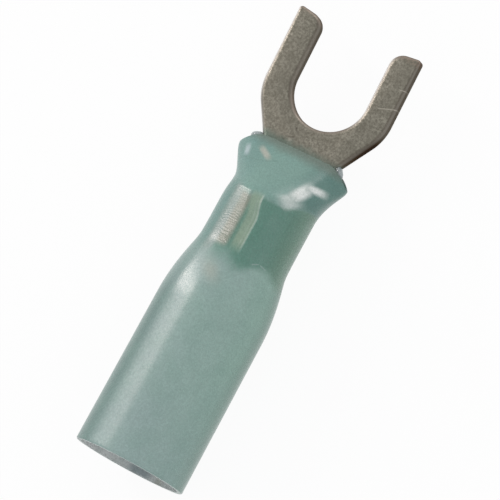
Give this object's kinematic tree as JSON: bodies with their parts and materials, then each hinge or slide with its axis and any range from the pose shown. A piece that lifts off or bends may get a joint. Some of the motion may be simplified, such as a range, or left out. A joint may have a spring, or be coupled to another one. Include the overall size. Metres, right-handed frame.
{
  "type": "fork terminal",
  "caption": "Fork terminal for a wire end: a flat tongue with an open slot for a terminal screw, a rolled barrel, and a translucent heat-shrink sleeve over the barrel.",
  "frame": {"origin": "under the middle of the length, on the surface that the sleeve's mouth lies on", "axes": "+X along the barrel towards the fork's tips, +Y across the fork, +Z square to the flat tongue, on the side of the barrel's seam"},
  "size_m": [0.0276, 0.0078, 0.0067],
  "materials": {
    "tinned_copper": "tin-plated copper with a matt, finely mottled surface",
    "shrink_plastic": "semi-gloss translucent blue-green shrink tube",
    "clear_adhesive": "clear, glossy hot-melt adhesive"
  },
  "bodies": {
    "root": {"fork_terminal": "tinned_copper", "shrink_sleeve": "shrink_plastic", "adhesive_liner": "clear_adhesive"}
  },
  "joints": []
}
